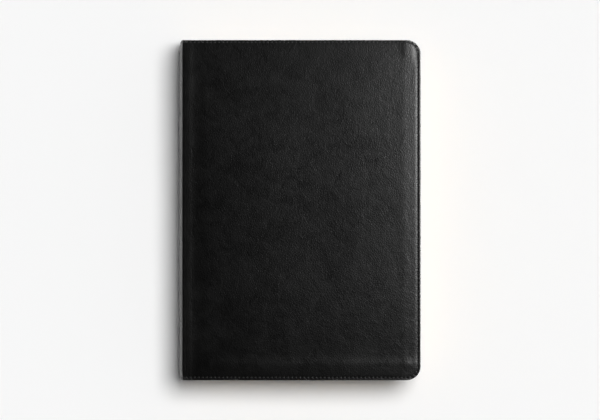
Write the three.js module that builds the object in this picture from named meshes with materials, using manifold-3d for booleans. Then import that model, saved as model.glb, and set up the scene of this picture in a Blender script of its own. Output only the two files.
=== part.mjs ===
// A closed study bible lying on its back cover: a limp stitched leather case round a sewn text block.
// Millimetres. +X runs from the spine to the fore-edge, +Y from the tail to the head of the page,
// +Z up out of the front cover. The origin is the middle of the face that it lies on.
import * as THREE from 'three';
import { mergeVertices } from 'three/addons/utils/BufferGeometryUtils.js';
import Module from 'manifold-3d';

const wasm = await Module();
wasm.setup();

// Whole book
const width = 167;
const height = 235;
const thickness = 40;
const spineX = -width / 2;
const foreEdgeX = width / 2;
const headY = height / 2;
const middleZ = thickness / 2;

// Round back of the case and the hinge lines beside it
const backBulge = 3;
const backRadius = (middleZ ** 2 + backBulge ** 2) / (2 * backBulge);
const backCentreX = spineX + backRadius;
const panelStartX = spineX + 4.4;
const creaseX = spineX + 9.2;
const hingeGap = 0.3;

// Cover panels, as depths in from the outer face of the book
const coverRadius = 9.5;
const innerRadius = 3;
const leatherSkin = 1.0;
const leatherEdge = 1.8;
const boardDepth = [1.05, 1.75];
const liningDepth = [1.85, 2.25];
const pastedownDepth = [2.3, 2.45];
const flyleafDepth = [2.5, 2.65];
const blockDepth = 2.75;
const turnInWidth = 6;
const liningInset = 5;
const pastedownInset = 11;
const cornerSegments = 6;

// Saddle stitch round the three free edges
const stitchInset = 2;
const threadWidth = 0.6;
const threadDepth = [0.06, 0.42];
const grooveWidth = 1.2;
const grooveDepth = 0.5;

// Text block
const sectionsPerHalf = 12;
const sectionGap = 0.04;
const overhangEnds = 7;
const overhangFore = 8;
const blockHeadY = headY - overhangEnds;
const blockForeX = foreEdgeX - overhangFore;
const blockRadius = 6;
const leavesStartX = spineX + 8.3;
const foldsEndX = leavesStartX - hingeGap;
const sheetInset = 0.5;

// Layers on the round back, as depths in from its outer face
const spineLeatherDepth = [0, 1.0];
const spineInlayDepth = [1.1, 1.6];
const spineLiningDepth = [1.9, 2.1];
const mullDepth = [2.2, 2.4];
const sewingDepth = [2.5, 2.8];
const foldsDepth = 2.95;
const headbandDepth = [2.2, 4.8];
const headbandHeight = 2;
const headbandGap = 0.2;
const backEndMargin = 0.3;
const sewingRows = 6;
const sewingSpan = 196;
const sewingRowHeight = 1;
const sewingRunSink = 0.05;
const arcSegments = 12;

const looks = {
  leather: new THREE.MeshStandardMaterial({ color: 0x171616, roughness: 0.48, metalness: 0 }),
  lining: new THREE.MeshStandardMaterial({ color: 0x1d1b1a, roughness: 0.7, metalness: 0 }),
  board: new THREE.MeshStandardMaterial({ color: 0x9a8e7a, roughness: 0.9, metalness: 0 }),
  thread: new THREE.MeshStandardMaterial({ color: 0x0e0e0e, roughness: 0.6, metalness: 0 }),
  endpaper: new THREE.MeshStandardMaterial({ color: 0x26221f, roughness: 0.8, metalness: 0 }),
  pages: new THREE.MeshStandardMaterial({ color: 0xd9b25c, roughness: 0.4, metalness: 0.6 }),
  cloth: new THREE.MeshStandardMaterial({ color: 0xe8e2d2, roughness: 0.95, metalness: 0 }),
  glue: new THREE.MeshStandardMaterial({ color: 0xe6dcc2, roughness: 0.6, metalness: 0 }),
  band: new THREE.MeshStandardMaterial({ color: 0x8a6a2c, roughness: 0.7, metalness: 0 }),
};

// Solids ---------------------------------------------------------------------------------------

function toSolid(geometry) {
  const bare = geometry.clone();
  bare.deleteAttribute('normal');
  bare.deleteAttribute('uv');
  const merged = mergeVertices(bare);
  return new wasm.Manifold(new wasm.Mesh({
    numProp: 3,
    vertProperties: new Float32Array(merged.attributes.position.array),
    triVerts: new Uint32Array(merged.index.array),
  }));
}

function toGeometry(solid) {
  const mesh = solid.getMesh();
  const geometry = new THREE.BufferGeometry();
  geometry.setAttribute('position', new THREE.BufferAttribute(mesh.vertProperties, 3));
  geometry.setIndex(new THREE.BufferAttribute(mesh.triVerts, 1));
  geometry.computeVertexNormals();
  return geometry;
}

function plate(shape, zLow, zHigh) {
  const options = { depth: zHigh - zLow, bevelEnabled: false, curveSegments: cornerSegments };
  return new THREE.ExtrudeGeometry(shape, options).translate(0, 0, zLow);
}

// Sheet outline with square corners at the spine side and round ones at the fore-edge.
function sheetOutline(startX, endX, halfHeight, radius) {
  const shape = new THREE.Shape();
  shape.moveTo(startX, -halfHeight);
  shape.lineTo(endX - radius, -halfHeight);
  shape.absarc(endX - radius, -halfHeight + radius, radius, -Math.PI / 2, 0, false);
  shape.lineTo(endX, halfHeight - radius);
  shape.absarc(endX - radius, halfHeight - radius, radius, 0, Math.PI / 2, false);
  shape.lineTo(startX, halfHeight);
  shape.closePath();
  return shape;
}

function coverOutline(startX, inset) {
  const radius = Math.max(coverRadius - inset, innerRadius);
  return sheetOutline(startX, foreEdgeX - inset, headY - inset, radius);
}

// A band that follows the three free edges of a cover, between two insets from the edge.
function edgeBand(startX, outerInset, innerInset) {
  const shape = coverOutline(startX, outerInset);
  const centreX = foreEdgeX - coverRadius;
  const centreY = headY - coverRadius;
  const radius = coverRadius - innerInset;
  const band = new THREE.Shape(shape.getPoints(cornerSegments).slice(0, -1));
  band.lineTo(startX, headY - innerInset);
  band.lineTo(centreX, headY - innerInset);
  band.absarc(centreX, centreY, radius, Math.PI / 2, 0, true);
  band.lineTo(foreEdgeX - innerInset, -centreY);
  band.absarc(centreX, -centreY, radius, 0, -Math.PI / 2, true);
  band.lineTo(startX, innerInset - headY);
  band.closePath();
  return band;
}

// Where the folds of the sections stand at a height above or below the middle of the book.
function foldX(z) {
  return backCentreX - Math.sqrt((backRadius - foldsDepth) ** 2 - (middleZ - z) ** 2);
}

// Shell concentric with the round back, or a slab from it to a flat inner face at flatX.
function backLayer({ outer, inner, flatX, marginZ, lowY, highY }) {
  const lift = (depth) => Math.asin((middleZ - marginZ) / (backRadius - depth));
  const shape = new THREE.Shape();
  const turn = lift(outer);
  shape.absarc(backCentreX, middleZ, backRadius - outer, Math.PI + turn, Math.PI - turn, true);
  if (flatX === undefined) {
    const back = lift(inner);
    shape.absarc(backCentreX, middleZ, backRadius - inner, Math.PI - back, Math.PI + back, false);
  } else {
    shape.lineTo(flatX, thickness - marginZ);
    shape.lineTo(flatX, marginZ);
  }
  shape.closePath();
  const options = { depth: highY - lowY, bevelEnabled: false, curveSegments: arcSegments };
  return new THREE.ExtrudeGeometry(shape, options).rotateX(Math.PI / 2).translate(0, highY, 0);
}

// Pieces ---------------------------------------------------------------------------------------

// The front half is the rear half turned over, so both are built from depths in from the outside.
function depthPlate(side, shape, [low, high]) {
  if (side === 'front') return plate(shape, thickness - high, thickness - low);
  return plate(shape, low, high);
}

// Leather panel turned in round its free edges, with a pocket for the board and a stitch groove.
function coverLeather(side, startX) {
  const boardX = startX + hingeGap * 2;
  const body = toSolid(depthPlate(side, coverOutline(startX, 0), [0, leatherEdge]));
  const pocket = depthPlate(side, coverOutline(boardX, turnInWidth), [leatherSkin, leatherEdge + 1]);
  const halfGroove = grooveWidth / 2;
  const groovePath = edgeBand(startX - 1, stitchInset - halfGroove, stitchInset + halfGroove);
  const groove = depthPlate(side, groovePath, [-1, grooveDepth]);
  return toGeometry(body.subtract(toSolid(pocket)).subtract(toSolid(groove)));
}

function coverBoard(side, startX) {
  const outline = coverOutline(startX + hingeGap * 3, turnInWidth + hingeGap);
  return depthPlate(side, outline, boardDepth);
}

function coverLining(side, startX) {
  return depthPlate(side, coverOutline(startX, liningInset), liningDepth);
}

function pastedown(side) {
  return depthPlate(side, coverOutline(creaseX + hingeGap, pastedownInset), pastedownDepth);
}

function edgeStitching(side, startX) {
  const half = threadWidth / 2;
  const path = edgeBand(startX + hingeGap, stitchInset - half, stitchInset + half);
  return depthPlate(side, path, threadDepth);
}

function flyleaf(side) {
  const outline = sheetOutline(
    leavesStartX, blockForeX - sheetInset, blockHeadY - sheetInset, blockRadius,
  );
  return depthPlate(side, outline, flyleafDepth);
}

// All leaves are equally long, so the fore-edge is as hollow as the back of the folds is round.
function section(side, fromOutside) {
  const pitch = (middleZ - blockDepth) / sectionsPerHalf;
  const low = blockDepth + fromOutside * pitch;
  const endX = blockForeX - (foldX(blockDepth) - foldX(low + pitch / 2));
  const outline = sheetOutline(leavesStartX, endX, blockHeadY, blockRadius);
  return depthPlate(side, outline, [low, low + pitch - sectionGap]);
}

function frontJointLeather() {
  const endX = creaseX - hingeGap / 2;
  return new THREE.BoxGeometry(endX - panelStartX, height, leatherEdge)
    .translate((panelStartX + endX) / 2, 0, thickness - leatherEdge / 2);
}

function spineLeather() {
  const [outer, inner] = spineLeatherDepth;
  return backLayer({ outer, inner, marginZ: 0, lowY: -headY, highY: headY });
}

function spineInlay() {
  const [outer, inner] = spineInlayDepth;
  const reach = headY - turnInWidth;
  return backLayer({ outer, inner, marginZ: blockDepth + backEndMargin, lowY: -reach, highY: reach });
}

function blockBackLayer([outer, inner]) {
  const reach = blockHeadY - sheetInset;
  return backLayer({ outer, inner, marginZ: blockDepth + backEndMargin, lowY: -reach, highY: reach });
}

function sewnFolds() {
  return backLayer({
    outer: foldsDepth, flatX: foldsEndX, marginZ: blockDepth, lowY: -blockHeadY, highY: blockHeadY,
  });
}

// Link stitches that join each section to the next, in rows across the back of the folds, and the
// one lengthwise run of the same thread that passes from row to row.
function sewingThread() {
  const [outer, inner] = sewingDepth;
  const half = sewingRowHeight / 2;
  let thread = toSolid(backLayer({
    outer: outer + sewingRunSink,
    inner: inner - sewingRunSink,
    marginZ: middleZ - half,
    lowY: -sewingSpan / 2,
    highY: sewingSpan / 2,
  }));
  for (let i = 0; i < sewingRows; i += 1) {
    const y = -sewingSpan / 2 + (sewingSpan * i) / (sewingRows - 1);
    thread = thread.add(toSolid(backLayer({
      outer,
      inner,
      marginZ: blockDepth + backEndMargin * 2,
      lowY: y - half,
      highY: y + half,
    })));
  }
  return toGeometry(thread);
}

function endBand(sign) {
  const [outer, inner] = headbandDepth;
  const near = blockHeadY + headbandGap;
  const far = near + headbandHeight;
  return backLayer({
    outer,
    inner,
    marginZ: blockDepth + backEndMargin,
    lowY: sign > 0 ? near : -far,
    highY: sign > 0 ? far : -near,
  });
}

// Assembly -------------------------------------------------------------------------------------

function add(group, name, geometry, look) {
  const mesh = new THREE.Mesh(geometry, look);
  mesh.name = name;
  group.add(mesh);
}

function addCover(group, side, startX) {
  add(group, `${side}_cover_leather`, coverLeather(side, startX), looks.leather);
  add(group, `${side}_board`, coverBoard(side, startX), looks.board);
  add(group, `${side}_lining`, coverLining(side, startX), looks.lining);
  add(group, `${side}_pastedown`, pastedown(side), looks.endpaper);
  add(group, `${side}_stitching`, edgeStitching(side, startX), looks.thread);
}

// Sections are numbered through the book, from the front cover to the back.
function addLeaves(group, side) {
  add(group, `${side}_flyleaf`, flyleaf(side), looks.endpaper);
  for (let i = 0; i < sectionsPerHalf; i += 1) {
    const number = side === 'front' ? i + 1 : 2 * sectionsPerHalf - i;
    add(group, `section_${String(number).padStart(2, '0')}`, section(side, i), looks.pages);
  }
}

const backCover = new THREE.Group();
addCover(backCover, 'back', panelStartX);
addLeaves(backCover, 'back');

const spine = new THREE.Group();
add(spine, 'spine_leather', spineLeather(), looks.leather);
add(spine, 'spine_inlay', spineInlay(), looks.board);
add(spine, 'spine_lining', blockBackLayer(spineLiningDepth), looks.glue);
add(spine, 'mull', blockBackLayer(mullDepth), looks.cloth);
add(spine, 'sewing_thread', sewingThread(), looks.cloth);
add(spine, 'sewn_folds', sewnFolds(), looks.glue);
add(spine, 'headband', endBand(1), looks.band);
add(spine, 'tailband', endBand(-1), looks.band);

const frontLeaves = new THREE.Group();
add(frontLeaves, 'front_joint_leather', frontJointLeather(), looks.leather);
addLeaves(frontLeaves, 'front');

const frontCover = new THREE.Group();
addCover(frontCover, 'front', creaseX + hingeGap / 2);

const bible = new THREE.Group();
bible.add(backCover, spine, frontLeaves, frontCover);

export default bible;
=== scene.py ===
import math

import bpy
import numpy as np
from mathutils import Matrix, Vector


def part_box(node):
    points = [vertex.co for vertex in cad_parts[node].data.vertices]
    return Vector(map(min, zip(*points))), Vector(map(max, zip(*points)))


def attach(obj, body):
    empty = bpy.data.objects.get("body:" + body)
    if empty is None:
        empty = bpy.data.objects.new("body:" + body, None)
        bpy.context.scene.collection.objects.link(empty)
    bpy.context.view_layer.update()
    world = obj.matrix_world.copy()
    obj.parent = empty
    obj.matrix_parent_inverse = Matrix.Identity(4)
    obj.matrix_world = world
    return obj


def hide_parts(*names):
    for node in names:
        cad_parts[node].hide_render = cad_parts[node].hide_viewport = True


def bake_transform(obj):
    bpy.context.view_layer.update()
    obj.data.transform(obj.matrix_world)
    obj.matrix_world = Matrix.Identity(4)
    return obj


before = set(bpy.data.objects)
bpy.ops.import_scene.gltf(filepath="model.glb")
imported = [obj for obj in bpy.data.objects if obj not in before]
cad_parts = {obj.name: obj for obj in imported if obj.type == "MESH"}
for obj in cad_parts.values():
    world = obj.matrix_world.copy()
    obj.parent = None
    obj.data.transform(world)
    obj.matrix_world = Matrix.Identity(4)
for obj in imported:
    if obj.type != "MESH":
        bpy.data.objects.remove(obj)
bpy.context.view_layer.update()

# The looks of a closed limp-leather bible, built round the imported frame. Lengths are millimetres
# in the row frame until a mesh is made, and heights on a cover are counted in from its outer face.
MM = 0.001


def box_mm(node):
    low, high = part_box(node)
    return np.array(low) / MM, np.array(high) / MM


# Sizes taken from the frame
FRONT_LOW, FRONT_HIGH = box_mm("front_cover_leather")
BACK_LOW, _ = box_mm("back_cover_leather")
SPINE_LOW, _ = box_mm("spine_leather")
_, FIRST_HIGH = box_mm("section_01")
THICKNESS = FRONT_HIGH[2]
FORE_X = FRONT_HIGH[0]
HEAD_Y = FRONT_HIGH[1]
PANEL_X = BACK_LOW[0]
HALF_HINGE_GAP = 0.15
CREASE_X = FRONT_LOW[0] - HALF_HINGE_GAP
SPINE_X = SPINE_LOW[0]
BLOCK_FORE_X = FIRST_HIGH[0]
BLOCK_HEAD_Y = FIRST_HIGH[1]
MIDDLE_Z = THICKNESS / 2

# The round back of the case
BACK_BULGE = 3.0
BACK_RADIUS = (MIDDLE_Z**2 + BACK_BULGE**2) / (2 * BACK_BULGE)
BACK_CENTRE_X = SPINE_X + BACK_RADIUS
FOLDS_DEPTH = 3.3

# Cover build, as in the frame
COVER_RADIUS = 9.5
LEATHER_SKIN = 1.0
LEATHER_EDGE = 1.8
TURN_IN = 6.0

# Rim of the leather: it rounds off over EDGE_ROUND, down to EDGE_FLAT of its thickness at the very
# edge, and its outer face is pinched in by RIM_PINCH there, which fades out just past the seam
EDGE_ROUND = 0.9
EDGE_FLAT = 0.82
RIM_PINCH = 0.12
PINCH_FROM = 0.6
PINCH_TO = 4.1
TURN_IN_STEP = 0.4

# Saddle stitch, at these distances in from the fore-edge, the head and the tail
STITCH_FORE = 2.1
STITCH_HEAD = 1.55
STITCH_TAIL = 1.88
STITCH_PITCH = 2.8
STITCH_LENGTH = 2.25
STITCH_SLANT = math.radians(13)
STITCH_SINK = 0.3
BACK_STITCH_SINK = 0.34
INNER_STITCH_LIFT = 0.16
THREAD_RADIUS = 0.38

# Marks of the stitches in the leather: a trough just outside the seam, with a hole between each
# two stitches, both deeper along the fore-edge than at the ends
SEAM_BAND = (0.2, 3.4)
THREAD_DENT = 0.06
THREAD_DENT_WIDTH = 0.4
TROUGH_OUT = 0.72
TROUGH_WIDTH = 0.25
TROUGH_AT_ENDS = 0.12
TROUGH_AT_FORE = 0.44
HOLE_AT_ENDS = 0.45
HOLE_AT_FORE = 0.72
HOLE_SPREAD = 0.22
MARKS_SHOWN_INSIDE = 0.25

# Hinge groove, by the distance across from the crease: where it falls, where it rises again, and
# the low swell before it
GROOVE_DEPTH = 0.18
GROOVE_FALL = (-2.0, 2.6)
GROOVE_RISE = (2.8, 10.8)
SWELL_HEIGHT = 0.03
SWELL_X = -2.9
SWELL_WIDTH = 1.6

# Swell of the closed book, as falls towards the hinge, the fore-edge and the ends
HINGE_FALL_HEAD = 0.7
HINGE_FALL_TAIL = 1.9
HINGE_FALL_Y = (0, 75)
HINGE_FALL_REACH = 60
FORE_FALL = 0.8
FORE_FALL_FROM = 20
FORE_FALL_REACH = 50
END_FALL = 0.5
END_FALL_FROM = 60
END_FALL_REACH = 45

# How the front cover lies over the edges of the text block
ROLL_START_X = BLOCK_FORE_X - 2.8
ROLL_START_Y = BLOCK_HEAD_Y - 5.0
ROLL_SLOPE = 0.045
ROLL_BEND = 2.0
PAGE_ROLL_BEND = 0.7
FLANK_SLOPE = 0.3
FLANK_WIDTH = 2.6
FLANK_BEND = 0.45
HEAD_CORNER_SLOPE = 0.24
HEAD_CORNER_WIDTH = 5.2
HEAD_CORNER_BEND = 0.4
HEAD_CORNER_Y = (98, 107)
HEAD_DROP = 0.12
TAIL_DROP = 0.27
TAIL_EASE_X = (-45, 15)
FORE_RIDGE = 0.05
FORE_RIDGE_X = ROLL_START_X - 0.4
FORE_RIDGE_WIDTH = 2.5
TAIL_RIDGE = 0.5
TAIL_RIDGE_Y = 10.5 - HEAD_Y
TAIL_RIDGE_START_X = (-75, -45)
TAIL_RIDGE_INNER = 4.2
TAIL_RIDGE_OUTER = (7.5, 12.5)
HIGHEST_DEPTH = 0.3
PAGE_CLEARANCE = 0.4
PAGE_GROOVE_WIDTH = 5

# The back cover curls up off the surface round its free edges
CURL_REACH = 6
CURL_HEIGHT = 0.72
CURL_UNEVEN = 0.12

# Layers inside the leather of a cover, by the inset of their edges and the depths of their faces
BOARD_INSET = 6.3
BOARD_DEPTHS = (1.05, 1.75)
LINING_INSET = 5.0
LINING_DEPTHS = (1.85, 2.25)
PASTEDOWN_INSET = 11.0
PASTEDOWN_DEPTHS = (2.3, 2.45)

# Spacing of the leather's grid
CELL = STITCH_PITCH / 3
COARSE_CELL = 1.5 * CELL


# Mesh helpers ------------------------------------------------------------------------------


def step(value, start, stop):
    """Zero up to the start and one past the stop, with an S-curve between."""
    t = np.clip((value - start) / (stop - start), 0, 1)
    return t * t * (3 - 2 * t)


def bell(distance, width):
    return np.exp(-((distance / width) ** 2))


def mix(low, high, part):
    return low + (high - low) * part


def make_object(name, points, faces, materials, slots=None, sharp=None):
    """A piece from millimetre points, with its rest place kept for the grain of its material."""
    mesh = bpy.data.meshes.new(name)
    mesh.from_pydata((points * MM).tolist(), [], faces)
    rest = mesh.attributes.new("rest", "FLOAT_VECTOR", "POINT")
    rest.data.foreach_set("vector", (points * MM).astype(np.float32).ravel())
    for material in materials:
        mesh.materials.append(material)
    if slots is not None:
        mesh.polygons.foreach_set("material_index", slots)
    mesh.shade_smooth()
    if sharp is not None:
        mesh.set_sharp_from_angle(angle=math.radians(sharp))
    piece = bpy.data.objects.new(name, mesh)
    bpy.context.scene.collection.objects.link(piece)
    return piece


def grid_faces(rows, columns, offset=0, flip=False):
    i, j = np.meshgrid(np.arange(rows - 1), np.arange(columns - 1), indexing="ij")
    a = (offset + i * columns + j).ravel()
    quads = np.stack([a, a + columns, a + columns + 1, a + 1], axis=1)
    return quads[:, ::-1] if flip else quads


def border_of(rows, columns):
    """Indices round a grid, anticlockwise from above when rows run along X and columns along Y."""
    south = [i * columns for i in range(rows)]
    east = [(rows - 1) * columns + j for j in range(1, columns)]
    north = [i * columns + columns - 1 for i in range(rows - 2, -1, -1)]
    west = list(range(columns - 2, 0, -1))
    return np.array(south + east + north + west)


def loop_faces(lower, upper):
    """Quads between two closed loops of as many points, facing out where both run anticlockwise."""
    return np.stack([lower, np.roll(lower, -1), np.roll(upper, -1), upper], axis=1)


def slab(top, bottom):
    """Points and faces of a closed sheet between two (rows, columns, 3) grids."""
    rows, columns, _ = top.shape
    count = rows * columns
    border = border_of(rows, columns)
    points = np.concatenate([top.reshape(-1, 3), bottom.reshape(-1, 3)])
    faces = np.concatenate([
        grid_faces(rows, columns),
        grid_faces(rows, columns, count, flip=True),
        loop_faces(border + count, border),
    ])
    return points, faces.tolist()


def stops(start, stop, near_start, near_stop, cell):
    """Rising places from start to stop: fine steps by each end, about a cell apart between."""
    head = start + np.array(near_start)
    tail = stop - np.array(near_stop)[::-1]
    count = max(2, round((tail[0] - head[-1]) / cell) + 1)
    middle = np.linspace(head[-1], tail[0], count)
    return np.concatenate([head[:-1], middle, tail[1:]])


# Sheet edges turning by more than this many degrees stay sharp
SHEET_SHARP = 75
LEAF_SHARP = 40

# Grid lines in from an edge: by the rim, by the hinge and by the edges of the inner sheets
RIM_STOPS = [0, 0.12, 0.4, 0.75, 1.05, 1.2, 1.35, 1.5, 1.65, 1.85, 2.1, 2.45, 3.0, 3.8, 4.8, 6.0]
HINGE_STOPS = [0, 0.25, 0.5, 0.75, 1.0, 1.25, 1.6, 2.3, 3.2]
INNER_STOPS = [*np.arange(0, 2.0, 0.1), *np.arange(2.0, 5.5, 0.3)]
SHEET_CELL = 3.0
SMALLEST_RADIUS = 3


def round_corners(x, y, end_x, half_height, radius):
    """Bends the square fore-edge corners of a grid onto quarter circles, row for row."""
    across = (x - (end_x - radius)) / radius
    along = (np.abs(y) - (half_height - radius)) / radius
    inside = (across > 0) & (along > 0)
    a = np.where(inside, across, 1.0)
    b = np.where(inside, along, 1.0)
    reach = np.maximum(a, b)
    turn = np.where(a >= b, b / a, 2 - a / b) * math.pi / 4
    new_x = end_x - radius + radius * reach * np.cos(turn)
    new_y = np.sign(y) * (half_height - radius + radius * reach * np.sin(turn))
    return np.where(inside, new_x, x), np.where(inside, new_y, y)


def cover_grid(start_x, inset, start_stops, cell):
    """Grid of a cover layer whose edge lies inset from the cover's own: x, y and edge distance."""
    end_x = FORE_X - inset
    half_height = HEAD_Y - inset
    xs = stops(start_x, end_x, start_stops, RIM_STOPS, cell)
    ys = stops(-half_height, half_height, RIM_STOPS, RIM_STOPS, cell)
    x, y = np.meshgrid(xs, ys, indexing="ij")
    edge = np.minimum(end_x - x, half_height - np.abs(y))
    x, y = round_corners(x, y, end_x, half_height, max(COVER_RADIUS - inset, SMALLEST_RADIUS))
    return x, y, edge


# Shape of the covers -----------------------------------------------------------------------


def hinge_dip(x):
    """Depth of the shallow groove that the cover opens on, with a low swell on its spine side."""
    from_crease = x - CREASE_X
    groove = step(from_crease, *GROOVE_FALL) * (1 - step(from_crease, *GROOVE_RISE))
    return GROOVE_DEPTH * groove - SWELL_HEIGHT * bell(from_crease - SWELL_X, SWELL_WIDTH)


def front_crown(x, y):
    """The swell of the closed book: it falls from the middle to the hinge and the free edges."""
    from_crease = x - CREASE_X
    hinge_fall = mix(HINGE_FALL_TAIL, HINGE_FALL_HEAD, step(y, *HINGE_FALL_Y))
    to_hinge = hinge_fall * (1 - np.clip(from_crease / HINGE_FALL_REACH, 0, 1)) ** 2
    to_fore = FORE_FALL * (np.clip(x - FORE_FALL_FROM, 0, None) / FORE_FALL_REACH) ** 2
    to_ends = END_FALL * (np.clip(np.abs(y) - END_FALL_FROM, 0, None) / END_FALL_REACH) ** 2
    return to_hinge + to_fore + to_ends


def slow_waves(x, y):
    """Gentle unevenness of a limp cover, within about a tenth of a millimetre."""
    return (
        0.05 * np.sin(x / 17.0 + y / 41.0 + 0.7)
        + 0.04 * np.sin(y / 23.0 - x / 37.0 + 2.1)
        + 0.025 * np.sin(x / 7.3 + 1.3 * np.sin(y / 19.0))
    )


def edge_distance(x, y):
    """Distance in from a cover's free edges, and how far the nearest edge faces the fore side."""
    across = x - (FORE_X - COVER_RADIUS)
    along = np.abs(y) - (HEAD_Y - COVER_RADIUS)
    reach = np.hypot(across, along)
    in_corner = (across > 0) & (along > 0)
    straight = np.minimum(COVER_RADIUS - across, COVER_RADIUS - along)
    distance = np.where(in_corner, COVER_RADIUS - reach, straight)
    fore_side = np.where(in_corner, across / np.maximum(reach, 1e-6), across > along)
    return distance, fore_side


def corner_folds(x, y):
    """Small raised folds where the leather is drawn round the corners of the block."""
    # At the head: a broad fold, steeper on the side of the hinge, and a thin one beside it
    head_x = 73.0
    head = 0.25 * bell(x - head_x, np.where(x < head_x, 2.4, 4.5)) * step(y, 103, 112)
    head += 0.04 * bell(x - 64.6, 1.6) * step(y, 108, 112)
    # At the tail: a knuckle over the corner of the block, and a thin slanting fold past it
    tail = 0.26 * bell(np.hypot(x - 74.2, y + 106.4), 3.0)
    slanting_x = 77.5 + 0.4 * (y + 112)
    tail += 0.05 * bell(x - slanting_x, 1.2) * step(-y, 109, 113)
    return head + tail


def soft_ramp(distance, width):
    """Zero before the start and rising one for one after it, with a bend about width wide."""
    return width * np.logaddexp(0, distance / width)


def end_fall(x, y):
    """How far the front cover sinks where it overhangs the head and the tail of the block."""
    past = np.clip(np.abs(y) - ROLL_START_Y, 0, None) / (HEAD_Y - ROLL_START_Y)
    tail_drop = TAIL_DROP * (1 - step(x, *TAIL_EASE_X))
    return np.where(y > 0, HEAD_DROP, tail_drop) * past**2


def edge_ridges(x, y):
    """Low ridges of the front cover just inside its fore-edge and its tail."""
    fore_ridge = FORE_RIDGE * bell(x - FORE_RIDGE_X, FORE_RIDGE_WIDTH)
    past_ridge = y - TAIL_RIDGE_Y
    outer_width = mix(*TAIL_RIDGE_OUTER, step(x, *TAIL_EASE_X))
    width = np.where(past_ridge > 0, TAIL_RIDGE_INNER, outer_width)
    return fore_ridge + TAIL_RIDGE * bell(past_ridge, width) * step(x, *TAIL_RIDGE_START_X)


def front_drop(x, y):
    """How far the front cover's outer face lies below the top of the closed book."""
    distance, fore_side = edge_distance(x, y)
    roll = ROLL_SLOPE * soft_ramp(x - ROLL_START_X, ROLL_BEND)
    flank = FLANK_SLOPE * fore_side * soft_ramp(FLANK_WIDTH - distance, FLANK_BEND)
    corner = HEAD_CORNER_SLOPE * soft_ramp(x - FORE_X + HEAD_CORNER_WIDTH, HEAD_CORNER_BEND)
    drop = end_fall(x, y) + roll + flank + corner * step(y, *HEAD_CORNER_Y)
    low = drop + front_crown(x, y) + hinge_dip(x) + slow_waves(x, y)
    return low - edge_ridges(x, y) - corner_folds(x, y) + HIGHEST_DEPTH


def back_drop(x, y):
    """How far the back cover's outer face lies above the surface that it rests on."""
    distance = edge_distance(x, y)[0]
    height = CURL_HEIGHT + CURL_UNEVEN * np.sin(x / 31.0 + y / 27.0)
    lift = (1 - step(distance, 0, CURL_REACH)) * height
    return lift + np.maximum(hinge_dip(x), 0)


def end_inset(y):
    return np.where(y > 0, STITCH_HEAD, STITCH_TAIL)


def seam_inset(y, fore_side):
    """How far in from the edge the seam runs, a little more on the fore side than at the ends."""
    return mix(end_inset(y), STITCH_FORE, fore_side**2)


def stitch_path(start_x):
    """Centre and direction of every stitch round the free edges, from the tail to the head."""
    corner_x = FORE_X - COVER_RADIUS
    corner_y = HEAD_Y - COVER_RADIUS
    run = corner_x - start_x
    arc = (COVER_RADIUS - STITCH_FORE) * math.pi / 2
    ends = np.cumsum([run, arc, 2 * corner_y, arc, run])
    count = int(ends[-1] / STITCH_PITCH)
    places = []
    for k in range(count):
        s = (k + 0.5) * ends[-1] / count
        if s < ends[0]:
            places.append((start_x + s, -HEAD_Y + STITCH_TAIL, 0.0))
        elif s < ends[1]:
            turn = (s - ends[0]) / arc * math.pi / 2
            radius = COVER_RADIUS - seam_inset(-1, math.sin(turn))
            x = corner_x + radius * math.sin(turn)
            places.append((x, -corner_y - radius * math.cos(turn), turn))
        elif s < ends[2]:
            places.append((FORE_X - STITCH_FORE, -corner_y + s - ends[1], math.pi / 2))
        elif s < ends[3]:
            turn = (s - ends[2]) / arc * math.pi / 2
            radius = COVER_RADIUS - seam_inset(1, math.cos(turn))
            x = corner_x + radius * math.cos(turn)
            places.append((x, corner_y + radius * math.sin(turn), math.pi / 2 + turn))
        else:
            places.append((corner_x - (s - ends[3]), HEAD_Y - STITCH_HEAD, math.pi))
    return np.array(places)


def stitch_marks(x, y, edge, places):
    """Depth of the trough beside the seam and of the pinched holes between its stitches."""
    fore_side = edge_distance(x, y)[1]
    from_seam = edge - seam_inset(y, fore_side)
    trough = mix(TROUGH_AT_ENDS, TROUGH_AT_FORE, fore_side)
    dent = THREAD_DENT * bell(from_seam, THREAD_DENT_WIDTH)
    dent += trough * bell(from_seam + TROUGH_OUT, TROUGH_WIDTH)
    near = (edge > SEAM_BAND[0]) & (edge < SEAM_BAND[1])
    px, py = x[near], y[near]
    pull = np.zeros_like(px)
    half = STITCH_PITCH / 2
    for cx, cy, turn in places:
        hx = cx + half * math.cos(turn) + TROUGH_OUT * math.sin(turn)
        hy = cy + half * math.sin(turn) - TROUGH_OUT * math.cos(turn)
        pull += np.exp(-((px - hx) ** 2 + (py - hy) ** 2) / HOLE_SPREAD)
    holes = np.zeros_like(x)
    holes[near] = mix(HOLE_AT_ENDS, HOLE_AT_FORE, fore_side[near]) * np.minimum(pull, 1)
    return dent + holes


def leather_faces(x, y, edge, drop, places):
    """Depths of the outer and inner faces of a cover's leather, round at its free edges."""
    past_turn_in = step(edge, TURN_IN - TURN_IN_STEP, TURN_IN + TURN_IN_STEP)
    outer = drop + RIM_PINCH * (1 - step(edge, PINCH_FROM, PINCH_TO))
    inner = drop + mix(LEATHER_EDGE, LEATHER_SKIN, past_turn_in)
    middle = (outer + inner) / 2
    in_edge = np.clip(edge / EDGE_ROUND, 0, 1)
    swell = np.sqrt(EDGE_FLAT**2 + (1 - EDGE_FLAT**2) * (1 - (1 - in_edge) ** 2))
    half = (inner - outer) / 2 * swell
    marks = stitch_marks(x, y, edge, places)
    return middle - half + marks, middle + half - MARKS_SHOWN_INSIDE * marks


def level(side, depth):
    """Height of a depth counted in from the outer face of a cover."""
    return THICKNESS - depth if side == "front" else depth


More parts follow.
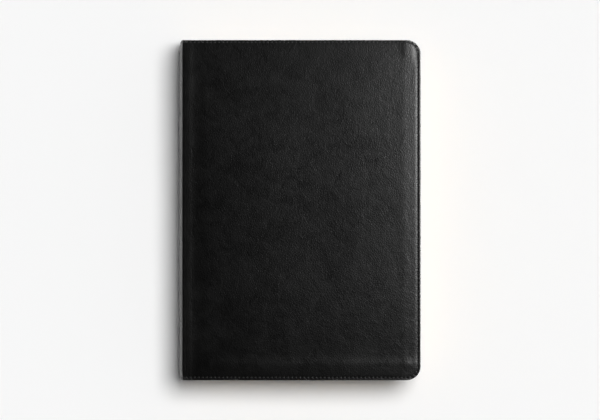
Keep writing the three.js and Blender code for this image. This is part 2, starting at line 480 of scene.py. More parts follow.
def cover_layer(name, side, x, y, outer, inner, materials):
    """A sheet of a cover between two depths, facing out whichever side it is on."""
    low, high = (inner, outer) if side == "front" else (outer, inner)
    top = np.stack([x, y, level(side, high)], axis=2)
    bottom = np.stack([x, y, level(side, low)], axis=2)
    points, faces = slab(top, bottom)
    return make_object(name, points, faces, materials, sharp=SHEET_SHARP)


# Thread ------------------------------------------------------------------------------------

THREAD_STATIONS = np.array([-1, -0.86, -0.6, -0.22, 0.22, 0.6, 0.86, 1])
THREAD_SIDES = 8
THREAD_TWIST = 2.3
THREAD_ARCH = 0.22
THREAD_DIVE = 0.75
THREAD_TAPER = 0.3
PLY_RELIEF = 0.17


def unit(v):
    return v / np.linalg.norm(v, axis=-1, keepdims=True)


def stitches(name, centres, directions, normals, material):
    """One short length of two-ply thread for each stitch, its ends pulled down into the holes."""
    t = THREAD_STATIONS
    lift = THREAD_ARCH - THREAD_DIVE * np.abs(t) ** 3
    radius = THREAD_RADIUS * (1 - THREAD_TAPER * np.abs(t) ** 4)
    around = np.linspace(0, 2 * math.pi, THREAD_SIDES, endpoint=False)
    ply = 1 + PLY_RELIEF * np.cos(2 * (around[None, :] - THREAD_TWIST * t[:, None]))
    across = np.cross(normals, directions)
    slanted = unit(directions * math.cos(STITCH_SLANT) + across * math.sin(STITCH_SLANT))
    side = np.cross(normals, slanted)
    spine = (
        centres[:, None, :]
        + slanted[:, None, :] * (t * STITCH_LENGTH / 2)[None, :, None]
        + normals[:, None, :] * lift[None, :, None]
    )
    ring = radius[:, None] * ply
    points = (
        spine[:, :, None, :]
        + side[:, None, None, :] * (ring * np.cos(around))[None, :, :, None]
        + normals[:, None, None, :] * (ring * np.sin(around))[None, :, :, None]
    )
    rings = len(t)
    faces = []
    for k in range(len(centres)):
        base = k * rings * THREAD_SIDES
        for r in range(rings - 1):
            for s in range(THREAD_SIDES):
                a = base + r * THREAD_SIDES + s
                b = base + r * THREAD_SIDES + (s + 1) % THREAD_SIDES
                faces.append([a, b, b + THREAD_SIDES, a + THREAD_SIDES])
        faces.append([base + s for s in reversed(range(THREAD_SIDES))])
        last = base + (rings - 1) * THREAD_SIDES
        faces.append([last + s for s in range(THREAD_SIDES)])
    return make_object(name, points.reshape(-1, 3), faces, [material])


def cover_stitches(name, side, places, drop, material):
    """The stitches of a cover, once on its outer face and once on the turned-in inner face."""
    x, y, turn = places.T
    nearby = 0.4
    base = drop(x, y)
    slope_x = (drop(x + nearby, y) - base) / nearby
    slope_y = (drop(x, y + nearby) - base) / nearby
    up = 1.0 if side == "front" else -1.0
    normal = unit(np.stack([up * slope_x, up * slope_y, np.ones_like(x)], axis=1)) * up
    along = np.stack([np.cos(turn), np.sin(turn), np.zeros_like(x)], axis=1)
    along = unit(along - normal * np.sum(along * normal, axis=1, keepdims=True))
    outer = np.stack([x, y, level(side, base + STITCH_SINK)], axis=1)
    inner = np.stack([x, y, level(side, base + LEATHER_EDGE - INNER_STITCH_LIFT)], axis=1)
    return stitches(
        name,
        np.concatenate([outer, inner]),
        np.concatenate([along, along]),
        np.concatenate([normal, -normal]),
        material,
    )


# Materials ---------------------------------------------------------------------------------

# Texture scales, from the slow mottle of the leather to the fibres of the thread
MOTTLE_SCALE = 40.0
WRINKLE_SCALE = 120.0
JITTER_SCALE = 260.0
WEAVE_SCALE = 420.0
GRAIN_SCALE = 1900.0
FIBRE_SCALE = 5200.0

# How far the leather's pebbles are pushed out of line, and how deep its wrinkles are
JITTER = (1.1 * MM, 1.1 * MM, 1.1 * MM)
WRINKLE_DEPTH = 0.38


def shader(name, colour, roughness, metallic=0.0, specular=0.5):
    material = bpy.data.materials.new(name)
    material.use_nodes = True
    tree = material.node_tree
    bsdf = tree.nodes["Principled BSDF"]
    bsdf.inputs["Base Color"].default_value = (*colour, 1)
    bsdf.inputs["Roughness"].default_value = roughness
    bsdf.inputs["Metallic"].default_value = metallic
    bsdf.inputs["Specular IOR Level"].default_value = specular
    return material, tree, bsdf


def add(tree, kind, inputs=None, **settings):
    """A node with its settings, and with each input set to a value or joined to a socket."""
    node = tree.nodes.new(kind)
    for key, value in settings.items():
        setattr(node, key, value)
    for key, value in (inputs or {}).items():
        if isinstance(value, bpy.types.NodeSocket):
            tree.links.new(value, node.inputs[key])
        else:
            node.inputs[key].default_value = value
    return node


def rest_place(tree, stretch=(1, 1, 1)):
    place = add(tree, "ShaderNodeAttribute", attribute_name="rest").outputs["Vector"]
    return add(tree, "ShaderNodeMapping", {"Vector": place, "Scale": stretch}).outputs[0]


def object_place(tree, stretch=(1, 1, 1)):
    place = add(tree, "ShaderNodeTexCoord").outputs["Object"]
    return add(tree, "ShaderNodeMapping", {"Vector": place, "Scale": stretch}).outputs[0]


def noise(tree, place, scale, detail=2.0, distortion=0.0, rough=0.5):
    inputs = {
        "Vector": place,
        "Scale": scale,
        "Detail": detail,
        "Distortion": distortion,
        "Roughness": rough,
    }
    return add(tree, "ShaderNodeTexNoise", inputs).outputs["Fac"]


def between(tree, value, low, high, from_low=0.3, from_high=0.7, shape="LINEAR"):
    inputs = {
        "Value": value,
        "From Min": from_low,
        "From Max": from_high,
        "To Min": low,
        "To Max": high,
    }
    return add(tree, "ShaderNodeMapRange", inputs, interpolation_type=shape).outputs["Result"]


def tones(tree, value, dark, light):
    colours = add(tree, "ShaderNodeMix", data_type="RGBA")
    tree.links.new(value, colours.inputs["Factor"])
    colours.inputs["A"].default_value = (*dark, 1)
    colours.inputs["B"].default_value = (*light, 1)
    return colours.outputs["Result"]


def set_colour(colour, tree, bsdf):
    tree.links.new(colour, bsdf.inputs["Base Color"])


def bump(tree, height, depth_mm, strength, below=None):
    inputs = {"Height": height, "Distance": depth_mm * MM, "Strength": strength}
    if below is not None:
        inputs["Normal"] = below
    return add(tree, "ShaderNodeBump", inputs).outputs["Normal"]


def leather(name, dark, light, low_roughness, high_roughness, grain_mm=1.4, grain_depth=0.07):
    """Pebbled faux leather: rounded cells with creases between, over mottled gloss."""
    material, tree, bsdf = shader(name, dark, low_roughness)
    place = rest_place(tree)
    jitter = add(
        tree, "ShaderNodeTexNoise", {"Vector": place, "Scale": JITTER_SCALE, "Detail": 2.0},
    ).outputs["Color"]
    shift = add(
        tree,
        "ShaderNodeVectorMath",
        {0: jitter, 1: JITTER, 2: place},
        operation="MULTIPLY_ADD",
    ).outputs[0]
    cells = add(
        tree,
        "ShaderNodeTexVoronoi",
        {"Vector": shift, "Scale": 1 / (grain_mm * MM)},
        feature="DISTANCE_TO_EDGE",
    ).outputs["Distance"]
    pebbles = between(tree, cells, 0.0, 1.0, -0.1, 0.36, "SMOOTHSTEP")
    fine = noise(tree, place, GRAIN_SCALE, 3.0)
    slow = noise(tree, place, MOTTLE_SCALE, 9.0, 0.4, 0.72)
    grain = add(
        tree, "ShaderNodeMath", {0: fine, 1: 0.7, 2: pebbles}, operation="MULTIPLY_ADD",
    ).outputs[0]
    wrinkles = bump(tree, noise(tree, place, WRINKLE_SCALE, 7.0, 0.8, 0.64), WRINKLE_DEPTH, 0.6)
    tree.links.new(bump(tree, grain, grain_depth, 0.8, wrinkles), bsdf.inputs["Normal"])
    set_colour(tones(tree, between(tree, slow, 0.0, 1.0), dark, light), tree, bsdf)
    patches = between(tree, noise(tree, place, WRINKLE_SCALE, 5.0, 0.6, 0.6), -0.035, 0.035)
    uneven = between(tree, slow, low_roughness, high_roughness)
    uneven = add(tree, "ShaderNodeMath", {0: uneven, 1: patches}, operation="ADD").outputs[0]
    rubbed = add(
        tree, "ShaderNodeMath", {0: pebbles, 1: -0.06, 2: uneven}, operation="MULTIPLY_ADD",
    ).outputs[0]
    tree.links.new(rubbed, bsdf.inputs["Roughness"])
    return material


def thread(name, dark, light, place_of=rest_place):
    """Waxed thread or silk with a fine uneven fibre."""
    material, tree, bsdf = shader(name, dark, 0.36)
    fibre = noise(tree, place_of(tree), FIBRE_SCALE, 2.0)
    set_colour(tones(tree, between(tree, fibre, 0.0, 1.0), dark, light), tree, bsdf)
    tree.links.new(bump(tree, fibre, 0.05, 0.5), bsdf.inputs["Normal"])
    return material


def gilt(name):
    """Gold leaf burnished on the cut edges: fine lines along the leaves and slow unevenness."""
    material, tree, bsdf = shader(name, (0.78, 0.52, 0.17), 0.3, metallic=1.0)
    place = rest_place(tree)
    slow = noise(tree, place, 70.0, 4.0)
    height = add(tree, "ShaderNodeSeparateXYZ", {"Vector": place}).outputs["Z"]
    along = add(
        tree, "ShaderNodeMath", {0: height, 1: 9000.0, 2: slow}, operation="MULTIPLY_ADD",
    ).outputs[0]
    lines = add(
        tree, "ShaderNodeTexNoise", {"W": along, "Scale": 1.0, "Detail": 3.0},
        noise_dimensions="1D",
    ).outputs["Fac"]
    gold = tones(tree, between(tree, lines, 0.0, 1.0), (0.62, 0.38, 0.11), (0.88, 0.63, 0.24))
    set_colour(gold, tree, bsdf)
    tree.links.new(between(tree, slow, 0.3, 0.44), bsdf.inputs["Roughness"])
    tree.links.new(bump(tree, lines, 0.035, 0.5), bsdf.inputs["Normal"])
    return material


def paper(name, dark, light, grain_depth=0.02, place_of=rest_place, roughness=0.8):
    """Paper or card with slow mottling and a fine fibre."""
    material, tree, bsdf = shader(name, dark, roughness, specular=0.25)
    place = place_of(tree)
    slow = noise(tree, place, 45.0, 5.0)
    fibre = noise(tree, place, GRAIN_SCALE, 4.0)
    set_colour(tones(tree, between(tree, slow, 0.0, 1.0), dark, light), tree, bsdf)
    tree.links.new(bump(tree, fibre, grain_depth, 0.6), bsdf.inputs["Normal"])
    return material


def muslin(name):
    """Open starched cloth: two crossed sets of threads."""
    material, tree, bsdf = shader(name, (0.7, 0.66, 0.56), 0.9, specular=0.2)
    warp = add(
        tree, "ShaderNodeTexWave", {"Vector": object_place(tree), "Scale": WEAVE_SCALE},
        bands_direction="Y",
    ).outputs["Fac"]
    weft = add(
        tree, "ShaderNodeTexWave", {"Vector": object_place(tree), "Scale": WEAVE_SCALE},
        bands_direction="Z",
    ).outputs["Fac"]
    weave = add(tree, "ShaderNodeMath", {0: warp, 1: weft}, operation="MAXIMUM").outputs[0]
    set_colour(
        tones(tree, between(tree, weave, 0.0, 1.0), (0.4, 0.37, 0.3), (0.76, 0.72, 0.62)),
        tree,
        bsdf,
    )
    tree.links.new(bump(tree, weave, 0.15, 0.8), bsdf.inputs["Normal"])
    return material


LOOKS = {
    "leather": leather(
        "black_leather", (0.0004, 0.0004, 0.0004), (0.0012, 0.0012, 0.0011), 0.405, 0.485,
    ),
    "lining": leather(
        "black_lining", (0.010, 0.0095, 0.009), (0.015, 0.0143, 0.0135), 0.6, 0.7, 0.6, 0.02,
    ),
    "thread": thread("black_thread", (0.010, 0.010, 0.010), (0.026, 0.026, 0.026)),
    "card": paper("card", (0.3, 0.25, 0.17), (0.38, 0.32, 0.23), place_of=object_place),
    "endpaper": paper("endpaper", (0.030, 0.024, 0.021), (0.042, 0.034, 0.029), 0.03),
    "page": paper("bible_paper", (0.80, 0.76, 0.65), (0.86, 0.82, 0.72), 0.012),
    "gilt": gilt("gilt_edge"),
    "kraft": paper("kraft_lining", (0.36, 0.26, 0.15), (0.45, 0.34, 0.21), place_of=object_place),
    "muslin": muslin("mull_muslin"),
    "linen": thread("linen_thread", (0.66, 0.62, 0.52), (0.8, 0.77, 0.68), object_place),
    "glue": paper("glued_folds", (0.68, 0.6, 0.45), (0.78, 0.72, 0.58), 0.03, roughness=0.45),
    "silk_gold": thread("gold_silk", (0.5, 0.32, 0.07), (0.66, 0.45, 0.12)),
    "silk_black": thread("black_silk", (0.012, 0.012, 0.012), (0.03, 0.03, 0.03)),
}


# Covers ------------------------------------------------------------------------------------

FRONT_BLEND = ("front_leaves", "front_cover", CREASE_X + 0.1, CREASE_X + 1.6)
JOINT_BLEND = ("spine", "front_leaves", PANEL_X + 0.2, CREASE_X - 0.6)
BACK_BLEND = ("spine", "back_cover", PANEL_X + 0.2, CREASE_X - 0.6)


def bend(piece):
    """Bakes a piece's transform into its mesh, leaving it where it lies; no bending between bodies
    is set up.
    """
    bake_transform(piece)


def finish_piece(piece, nodes=(), blend=None, body=None):
    """Parents a piece to its body, or only bakes its transform when a blend is given, and hides the
    frame nodes that it stands for.
    """
    if blend:
        bend(piece)
    else:
        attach(piece, body)
    if nodes:
        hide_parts(*nodes)


def make_cover(side, start_x, drop, cell, blend):
    """Leather, card, lining, pastedown and thread of one cover, all lying to the same shape."""
    places = stitch_path(start_x + HALF_HINGE_GAP)
    x, y, edge = cover_grid(start_x, 0, HINGE_STOPS, cell)
    outer, inner = leather_faces(x, y, edge, drop(x, y), places)
    hide = cover_layer(f"{side}_cover", side, x, y, outer, inner, [LOOKS["leather"]])
    finish_piece(hide, [f"{side}_cover_leather"], blend)

    for name, inset, start, depth, look, slot_name in (
        ("board", BOARD_INSET, start_x + 1.7, BOARD_DEPTHS, "card", "board"),
        ("lining", LINING_INSET, start_x + 0.05, LINING_DEPTHS, "lining", "lining"),
        ("pastedown", PASTEDOWN_INSET, CREASE_X + 0.3, PASTEDOWN_DEPTHS, "endpaper", "endpaper"),
    ):
        x, y, _ = cover_grid(start, inset, INNER_STOPS, SHEET_CELL)
        base = drop(x, y)
        sheet = cover_layer(
            f"{side}_cover_{name}", side, x, y, base + depth[0], base + depth[1], [LOOKS[look]],
        )
        finish_piece(sheet, [f"{side}_{name}"], blend)

    sewn = cover_stitches(f"{side}_cover_stitches", side, places, drop, LOOKS["thread"])
    finish_piece(sewn, [f"{side}_stitching"], blend)


make_cover("front", CREASE_X + 0.02, front_drop, CELL, FRONT_BLEND)
make_cover("back", PANEL_X, back_drop, COARSE_CELL, BACK_BLEND)


def make_front_joint():
    """The strip of leather between the spine and the crease that the front cover opens on."""
    xs = np.array([PANEL_X, *np.linspace(PANEL_X + 0.3, CREASE_X - 0.3, 12), CREASE_X - 0.02])
    ys = stops(-HEAD_Y, HEAD_Y, RIM_STOPS, RIM_STOPS, CELL)
    x, y = np.meshgrid(xs, ys, indexing="ij")
    edge = HEAD_Y - np.abs(y)
    ends = [
        (CREASE_X - (k + 0.5) * STITCH_PITCH, sign * (HEAD_Y - float(end_inset(sign))), turn)
        for k in range(2)
        for sign, turn in ((-1, 0.0), (1, math.pi))
    ]
    outer, inner = leather_faces(x, y, edge, front_drop(x, y), ends)
    strip = cover_layer("front_joint", "front", x, y, outer, inner, [LOOKS["leather"]])
    finish_piece(strip, ["front_joint_leather"], JOINT_BLEND)
    sewn = cover_stitches(
        "front_joint_stitches", "front", np.array(ends), front_drop, LOOKS["thread"],
    )
    finish_piece(sewn, (), JOINT_BLEND)


make_front_joint()


# Round back --------------------------------------------------------------------------------

BACK_FLAT_X = PANEL_X - 0.05
BACK_FOOT_Z = float(back_drop(PANEL_X, 0.0))
BACK_TOP_Z = THICKNESS - float(front_drop(PANEL_X, 0.0))
OUTER_FILLET = 1.4
INNER_FILLET = 0.2
BACK_EASE = 7

# The back draws in towards the head and the tail, over these lengths from the ends. This and the
# pressed lines build up between the two SHAPED_FROM_SIDE distances from its long sides.
DRAWN_IN_HEAD = 1.0
DRAWN_IN_TAIL = 0.8
DRAWN_HEAD_REACH = 11
DRAWN_TAIL_REACH = 7.5
SHAPED_FROM_SIDE = (1, 6)

# Pairs of pressed lines across the back
PRESSED_PAIRS = (87.2, 31.8, -23.5, -78.9)
PRESSED_SPACING = 2.8
PRESSED_DEPTH = 0.24
PRESSED_WIDTH = 0.42
PRESSED_LINES = np.array([m + s * PRESSED_SPACING / 2 for m in PRESSED_PAIRS for s in (-1, 1)])
PRESSED_STOPS = np.array([-0.9, -0.6, -0.36, -0.17, 0, 0.17, 0.36, 0.6, 0.9])
CLEAR_OF_LINES = 1.15

# Layers between the back and the folds, by the depths of their faces
INLAY_DEPTHS = (1.12, 1.6)
INLAY_MARGIN = 3.4
INLAY_REACH = 110.9
GLUE_DEPTHS = (2.86, 3.24)
GLUE_MARGIN = 2.95
GLUE_REACH = BLOCK_HEAD_Y - 0.2


def back_section(depth, fillet):
    """Section of the back at a depth: (x, z) points from the foot up to the front joint."""
    radius = BACK_RADIUS - depth
    low_z = BACK_FOOT_Z + depth + fillet
    high_z = BACK_TOP_Z - depth - fillet
    low_turn = math.asin((low_z - MIDDLE_Z) / (radius - fillet))
    high_turn = math.asin((high_z - MIDDLE_Z) / (radius - fillet))
    low_x = BACK_CENTRE_X - (radius - fillet) * math.cos(low_turn)
    high_x = BACK_CENTRE_X - (radius - fillet) * math.cos(high_turn)

    def arc(centre_x, centre_z, size, start, stop, count):
        turn = np.linspace(start, stop, count)
        return np.stack([centre_x - size * np.cos(turn), centre_z + size * np.sin(turn)], axis=1)

    quarter = math.pi / 2
    foot = np.stack([np.linspace(BACK_FLAT_X, low_x, 4), np.full(4, low_z - fillet)], axis=1)
    top = np.stack([np.linspace(high_x, BACK_FLAT_X, 4), np.full(4, high_z + fillet)], axis=1)
    return np.concatenate([
        foot[:-1],
        arc(low_x, low_z, fillet, -quarter, low_turn, 8)[:-1],
        arc(BACK_CENTRE_X, MIDDLE_Z, radius, low_turn, high_turn, 44)[:-1],
        arc(high_x, high_z, fillet, high_turn, quarter, 8)[:-1],
        top,
    ])


BACK_OUTER = back_section(0, OUTER_FILLET)
BACK_INWARD = (back_section(LEATHER_EDGE, INNER_FILLET) - BACK_OUTER) / LEATHER_EDGE
BACK_RUN = np.concatenate([[0], np.cumsum(np.hypot(*np.diff(BACK_OUTER, axis=0).T))])
BACK_LENGTH = BACK_RUN[-1]


def on_back(run, y, depth):
    """Places on the round back, by the distance up round it and the depth in from its face."""
    x = np.interp(run, BACK_RUN, BACK_OUTER[:, 0])
    z = np.interp(run, BACK_RUN, BACK_OUTER[:, 1])
    x = x + depth * np.interp(run, BACK_RUN, BACK_INWARD[:, 0])
    z = z + depth * np.interp(run, BACK_RUN, BACK_INWARD[:, 1])
    foot_rise = back_drop(PANEL_X, y) - BACK_FOOT_Z
    top_fall = front_drop(PANEL_X, y) - (THICKNESS - BACK_TOP_Z)
    z = z + foot_rise * (1 - step(run, 0, BACK_EASE))
    z = z - top_fall * step(run, BACK_LENGTH - BACK_EASE, BACK_LENGTH)
    return np.stack([x, y, z], axis=-1)


def spine_drop(run, y):
    """Pressed cross lines, and the way the back draws in at the head and the tail."""
    from_side = np.minimum(run, BACK_LENGTH - run)
    drawn_in = DRAWN_IN_HEAD * step(y, HEAD_Y - DRAWN_HEAD_REACH, HEAD_Y)
    drawn_in += DRAWN_IN_TAIL * step(-y, HEAD_Y - DRAWN_TAIL_REACH, HEAD_Y)
    lines = sum(bell(y - line, PRESSED_WIDTH) for line in PRESSED_LINES)
    return step(from_side, *SHAPED_FROM_SIDE) * (drawn_in + PRESSED_DEPTH * lines)


def make_spine_leather():
    """Leather round the back, with finer grid lines at the pressed lines, and its stitches."""
    even = stops(-HEAD_Y, HEAD_Y, RIM_STOPS, RIM_STOPS, COARSE_CELL)
    clear = np.min(np.abs(even[:, None] - PRESSED_LINES), axis=1) > CLEAR_OF_LINES
    pressed = (PRESSED_LINES[:, None] + PRESSED_STOPS).ravel()
    ys = np.sort(np.concatenate([even[clear], pressed]))
    run, y = np.meshgrid(BACK_RUN, ys, indexing="ij")
    edge = HEAD_Y - np.abs(y)
    count = round(BACK_LENGTH / STITCH_PITCH)
    seam = [
        ((k + 0.5) * BACK_LENGTH / count, sign * (HEAD_Y - float(end_inset(sign))), turn)
        for k in range(count)
        for sign, turn in ((-1, 0.0), (1, math.pi))
    ]
    outer, inner = leather_faces(run, y, edge, spine_drop(run, y), seam)
    points, faces = slab(on_back(run, y, outer), on_back(run, y, inner))
    hide = make_object("spine_cover", points, faces, [LOOKS["leather"]], sharp=SHEET_SHARP)
    finish_piece(hide, ["spine_leather"], body="spine")

    at_run, at_y, _ = np.array(seam).T
    drop = spine_drop(at_run, at_y)
    centre = on_back(at_run, at_y, drop + BACK_STITCH_SINK)
    along = unit(on_back(at_run + 0.3, at_y, drop) - on_back(at_run - 0.3, at_y, drop))
    out = np.cross(along, np.tile([0.0, 1.0, 0.0], (len(seam), 1)))
    inside = on_back(at_run, at_y, drop + LEATHER_EDGE - INNER_STITCH_LIFT)
    sewn = stitches(
        "spine_stitches",
        np.concatenate([centre, inside]),
        np.concatenate([along, along]),
        np.concatenate([out, -out]),
        LOOKS["thread"],
    )
    finish_piece(sewn, body="spine")


make_spine_leather()


def arc_x(depth, z):
    """Where a layer at a depth of the round back lies across the book, by its height."""
    return BACK_CENTRE_X - np.sqrt((BACK_RADIUS - depth) ** 2 - (z - MIDDLE_Z) ** 2)


def back_layer(name, depth, margin, reach, look, follow=None):
    """A sheet wrapped round the back of the text block between two depths."""
    up = np.linspace(margin, THICKNESS - margin, 30)
    along = np.linspace(-reach, reach, 80)
    z, y = np.meshgrid(up, along, indexing="ij")
    extra = follow(z, y) if follow else 0
    top = np.stack([arc_x(depth[0] + extra, z), y, z], axis=2)
    bottom = np.stack([arc_x(depth[1] + extra, z), y, z], axis=2)
    points, faces = slab(top, bottom)
    return make_object(name, points, faces, [LOOKS[look]])


inlay = back_layer("spine_card", INLAY_DEPTHS, INLAY_MARGIN, INLAY_REACH, "card", spine_drop)
finish_piece(inlay, ["spine_inlay"], body="spine")
glue = back_layer("glued_folds", GLUE_DEPTHS, GLUE_MARGIN, GLUE_REACH, "glue")
finish_piece(glue, ["sewn_folds"], body="spine")


# Text block --------------------------------------------------------------------------------

LEAF_BODY = {"front": "front_leaves", "back": "back_cover"}
HALF_SECTIONS = 12
BLOCK_DEPTH = THICKNESS - FIRST_HIGH[2]
SECTION_PITCH = (MIDDLE_Z - BLOCK_DEPTH) / HALF_SECTIONS
SECTION_GAP = 0.04
BLOCK_RADIUS = 6.0
LEAF_BANDS = 4
LEAF_STAGGER = 0.05
BAND_GROOVE = 0.03
LEAF_CELL = 8.0
FOLD_BLEND_START = 1.5
FOLD_BLEND_WIDTH = 12
FOLD_BLEND_GROWTH = 22
FLYLEAF_LIFT = 0.25
FLYLEAF_THICKNESS = 0.15
FLYLEAF_INSET = 0.5
FOLD_STOPS = [0, 0.3, 0.8, *np.arange(1.8, 45, 1.5)]
LEAF_STOPS = [0, 0.4, 1.2, 2.4, 4.2, 6.2]


def page_drop(side, x, y):
    """How far the cover presses the outermost leaf in from the outside of the block."""
    hinge = GROOVE_DEPTH * bell(x - CREASE_X, PAGE_GROOVE_WIDTH)
    if side == "back":
        return hinge
    roll = ROLL_SLOPE * soft_ramp(x - ROLL_START_X, PAGE_ROLL_BEND)
    drop = front_crown(x, y) + hinge + end_fall(x, y) + roll + slow_waves(x, y)
    return PAGE_CLEARANCE + drop


def leaf_height(side, x, y, depth):
    """Height of a leaf, which follows its cover less the deeper it lies in the block."""
    pressed = depth + page_drop(side, x, y) * (1 - depth / MIDDLE_Z)
    return level(side, pressed)


def leaf_grid(start_x, end_x, half_height):
    xs = stops(start_x, end_x, FOLD_STOPS, LEAF_STOPS, LEAF_CELL)
    ys = stops(-half_height, half_height, LEAF_STOPS, LEAF_STOPS, LEAF_CELL)
    x, y = np.meshgrid(xs, ys, indexing="ij")
    return round_corners(x, y, end_x, half_height, BLOCK_RADIUS)


def block_ends(depth):
    """Where the leaves at a depth start at the folds and stop at the hollow fore-edge."""
    outermost = arc_x(FOLDS_DEPTH, BLOCK_DEPTH)
    fold = arc_x(FOLDS_DEPTH, depth)
    return fold, BLOCK_FORE_X - (outermost - fold)


def edge_rings(side, from_outside, near, far, loop, at_fold):
    """Rings down the walls of a section: round at the fold, in fine steps at the cut edges."""
    half = (far - near) / 2
    along = unit(np.roll(loop, -1, axis=0) - np.roll(loop, 1, axis=0))
    outward = np.stack([along[:, 1], -along[:, 0]], axis=1)

    def ring(depth, inset):
        t = (depth - (near + far) / 2) / half
        bulge = half * math.sqrt(max(0.0, 1 - t * t))
        reach = np.where(at_fold, bulge, -inset)
        place = loop + outward * reach[:, None]
        height = leaf_height(side, place[:, 0], place[:, 1], depth)
        return np.column_stack([place, height])

    rings = []
    for band in range(LEAF_BANDS):
        low = near + 2 * half * band / LEAF_BANDS
        high = near + 2 * half * (band + 1) / LEAF_BANDS
        uneven = math.sin(7.3 * from_outside + 2.1 * band + (side == "back"))
        inset = LEAF_STAGGER * (1 + uneven)
        rings.append(ring(low + BAND_GROOVE, inset))
        rings.append(ring(high - BAND_GROOVE, inset))
    return rings


def make_section(side, from_outside):
    """One folded section of leaves, with page faces and gilt cut edges."""
    near = BLOCK_DEPTH + from_outside * SECTION_PITCH
    far = near + SECTION_PITCH - SECTION_GAP
    fold_x, end_x = block_ends((near + far) / 2)
    start_x = fold_x + (far - near) / 2
    x, y = leaf_grid(start_x, end_x, BLOCK_HEAD_Y)
    border = border_of(*x.shape)
    loop = np.stack([x.ravel()[border], y.ravel()[border]], axis=1)
    at_fold = loop[:, 0] < start_x + 0.01
    rings = edge_rings(side, from_outside, near, far, loop, at_fold)
    low_depth, high_depth = (far, near) if side == "front" else (near, far)
    if side == "front":
        rings.reverse()
    top = np.stack([x, y, leaf_height(side, x, y, high_depth)], axis=2)
    bottom = np.stack([x, y, leaf_height(side, x, y, low_depth)], axis=2)
    points = [top.reshape(-1, 3), bottom.reshape(-1, 3), *rings]
    count = x.size
    width = len(border)
    loops = [border + count]
    loops += [2 * count + k * width + np.arange(width) for k in range(len(rings))]
    loops.append(border)
    walls = [loop_faces(loops[k], loops[k + 1]) for k in range(len(loops) - 1)]
    pages = [grid_faces(*x.shape), grid_faces(*x.shape, count, flip=True)]
    faces = np.concatenate([*pages, *walls]).tolist()
    cut = np.tile(~(at_fold | np.roll(at_fold, -1)), len(walls))
    slots = np.concatenate([np.zeros(sum(map(len, pages)), int), cut.astype(int)])
    number = from_outside + 1 if side == "front" else 2 * HALF_SECTIONS - from_outside
    name = f"section_{number:02d}"
    looks = [LOOKS["page"], LOOKS["gilt"]]
    folded = make_object(
        name + "_leaves", np.concatenate(points), faces, looks, slots, sharp=LEAF_SHARP,
    )
    start = fold_x + FOLD_BLEND_START
    end = start + FOLD_BLEND_WIDTH + FOLD_BLEND_GROWTH * from_outside / (HALF_SECTIONS - 1)
    finish_piece(folded, [name], ("spine", LEAF_BODY[side], start, end))


def make_flyleaf(side):
    """The free endleaf, between the cover's pastedown and the outermost section."""
    near = BLOCK_DEPTH - FLYLEAF_LIFT
    far = near + FLYLEAF_THICKNESS
    fold_x, end_x = block_ends(BLOCK_DEPTH)
    x, y = leaf_grid(fold_x + 0.4, end_x - FLYLEAF_INSET, BLOCK_HEAD_Y - FLYLEAF_INSET)
    low, high = (far, near) if side == "front" else (near, far)
    top = np.stack([x, y, leaf_height(side, x, y, high)], axis=2)
    bottom = np.stack([x, y, leaf_height(side, x, y, low)], axis=2)
    points, faces = slab(top, bottom)
    sheet = make_object(f"{side}_endleaf", points, faces, [LOOKS["endpaper"]])
    blend = ("spine", LEAF_BODY[side], fold_x + FOLD_BLEND_START, fold_x + FOLD_BLEND_WIDTH)
    finish_piece(sheet, [f"{side}_flyleaf"], blend)


for cover_side in ("front", "back"):
    make_flyleaf(cover_side)
    for place_in_half in range(HALF_SECTIONS):
        make_section(cover_side, place_in_half)


# Headbands ---------------------------------------------------------------------------------

BAND_WRAPS = 44
BAND_SIDES = 12
BAND_RINGS = 4
BAND_MARGIN = 3.7
BAND_DEPTH = 3.75
BAND_LIFT = 1.15
CORD_RADIUS = 0.78
SILK_RELIEF = 0.14
SILK_LEAN = 0.2


def make_headband(name, sign, node):
    """Silk wound in two colours over a cord, along the round back at the end of the folds."""
    count = BAND_WRAPS * BAND_RINGS
    z = np.linspace(BAND_MARGIN, THICKNESS - BAND_MARGIN, count + 1)
    x = arc_x(BAND_DEPTH, z)
    wrap = np.arange(count + 1) / BAND_RINGS
    radius = CORD_RADIUS + SILK_RELIEF * np.abs(np.sin(math.pi * wrap))
    along_x, along_z = unit(np.stack([np.gradient(x), np.gradient(z)], axis=1)).T[:, :, None]
    turn = np.linspace(0, 2 * math.pi, BAND_SIDES, endpoint=False)
    lean = SILK_LEAN * np.sin(turn)
    out = radius[:, None] * np.cos(turn)
    up = radius[:, None] * np.sin(turn)
    band_x = x[:, None] - along_z * out + along_x * lean
    band_y = sign * (BLOCK_HEAD_Y + BAND_LIFT) + up
    band_z = z[:, None] + along_x * out + along_z * lean
    points = np.stack([band_x, band_y, band_z], axis=2)
    rings = np.arange((count + 1) * BAND_SIDES).reshape(count + 1, BAND_SIDES)
    faces = np.concatenate([loop_faces(rings[k], rings[k + 1]) for k in range(count)]).tolist()
    faces += [rings[0][::-1].tolist(), rings[-1].tolist()]
    stripe = np.repeat((np.arange(count) // BAND_RINGS) % 2, BAND_SIDES).tolist() + [0, 0]
    silks = [LOOKS["silk_gold"], LOOKS["silk_black"]]
    band = make_object(name, points.reshape(-1, 3), faces, silks, stripe)
    finish_piece(band, [node], body="spine")


make_headband("head_silk", 1, "headband")
make_headband("tail_silk", -1, "tailband")


# Pieces kept from the frame ----------------------------------------------------------------


def dress(node, look):
    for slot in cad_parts[node].material_slots:
        slot.material = LOOKS[look]


dress("spine_lining", "kraft")
dress("mull", "muslin")
dress("sewing_thread", "linen")


# Stage -------------------------------------------------------------------------------------

CAMERA_PLACE = (0.0002, 0.0001, 4.645)
CAMERA_LENS = 400
FLOOR_HALF = 30.0
LIT_WALL = (0.55, 0.83, 0)


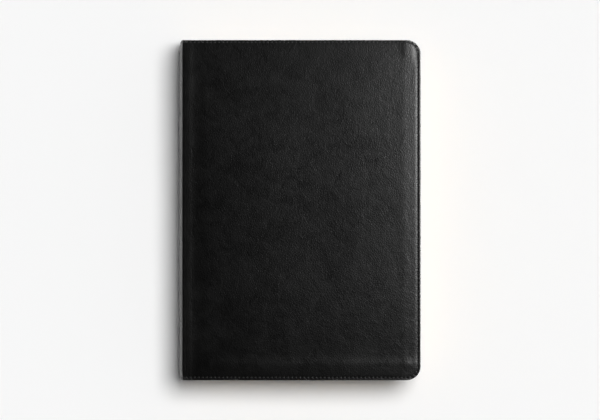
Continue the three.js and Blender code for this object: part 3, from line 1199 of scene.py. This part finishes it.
def make_camera():
    """A long lens high above the book, looking straight down."""
    camera = bpy.data.cameras.new("camera")
    camera.lens = CAMERA_LENS
    camera.sensor_width = 36
    camera.clip_end = 100
    holder = bpy.data.objects.new("camera", camera)
    holder.location = CAMERA_PLACE
    bpy.context.scene.collection.objects.link(holder)
    bpy.context.scene.camera = holder


def make_floor():
    """The plain pale surface that the book lies on."""
    mesh = bpy.data.meshes.new("floor")
    corners = [(i * FLOOR_HALF, j * FLOOR_HALF, 0) for i, j in ((-1, -1), (1, -1), (1, 1), (-1, 1))]
    mesh.from_pydata(corners, [], [(0, 1, 2, 3)])
    floor = bpy.data.objects.new("floor", mesh)
    mesh.materials.append(shader("floor", (0.92, 0.92, 0.92), 0.9, specular=0.1)[0])
    bpy.context.scene.collection.objects.link(floor)


def make_sun(strength, angle, direction):
    """The soft main light, which is left out of gloss."""
    light = bpy.data.lights.new("sun", "SUN")
    light.energy = strength
    light.angle = math.radians(angle)
    holder = bpy.data.objects.new("sun", light)
    holder.visible_glossy = False
    holder.rotation_euler = (-Vector(direction)).to_track_quat("-Z", "Y").to_euler()
    bpy.context.scene.collection.objects.link(holder)


def make_area(name, place, size, power):
    """A square lamp aimed at the book, which adds gloss only."""
    light = bpy.data.lights.new(name, "AREA")
    light.shape = "SQUARE"
    light.size = size
    light.energy = power
    holder = bpy.data.objects.new(name, light)
    holder.location = place
    holder.visible_diffuse = False
    aim = Vector((0, 0, 0)) - Vector(place)
    holder.rotation_euler = aim.to_track_quat("-Z", "Y").to_euler()
    bpy.context.scene.collection.objects.link(holder)


def make_world(strength, overhead, far_side):
    """A studio with pale walls, darker on the side away from the lights, and a dark ceiling."""
    world = bpy.data.worlds.new("studio")
    world.use_nodes = True
    tree = world.node_tree
    direction = add(tree, "ShaderNodeTexCoord").outputs["Generated"]
    height = add(tree, "ShaderNodeSeparateXYZ", {"Vector": direction}).outputs["Z"]
    to_ceiling = between(tree, height, 1.0, overhead, 0.2, 0.8)
    lit_side = add(
        tree, "ShaderNodeVectorMath", {0: direction, 1: LIT_WALL}, operation="DOT_PRODUCT",
    ).outputs["Value"]
    walls = between(tree, lit_side, far_side, 1.0, -0.9, 0.9)
    shade = add(tree, "ShaderNodeMath", {0: to_ceiling, 1: walls}, operation="MULTIPLY").outputs[0]
    tree.links.new(shade, tree.nodes["Background"].inputs["Color"])
    tree.nodes["Background"].inputs["Strength"].default_value = strength
    bpy.context.scene.world = world


make_camera()
make_floor()
make_world(strength=0.38, overhead=0.025, far_side=0.2)
make_sun(strength=3.17, angle=32, direction=(0.26, 0.215, 1.0))
make_area("key", place=(0.36, 0.11, 0.40), size=0.16, power=2.95)
bpy.context.scene.view_settings.view_transform = "Standard"
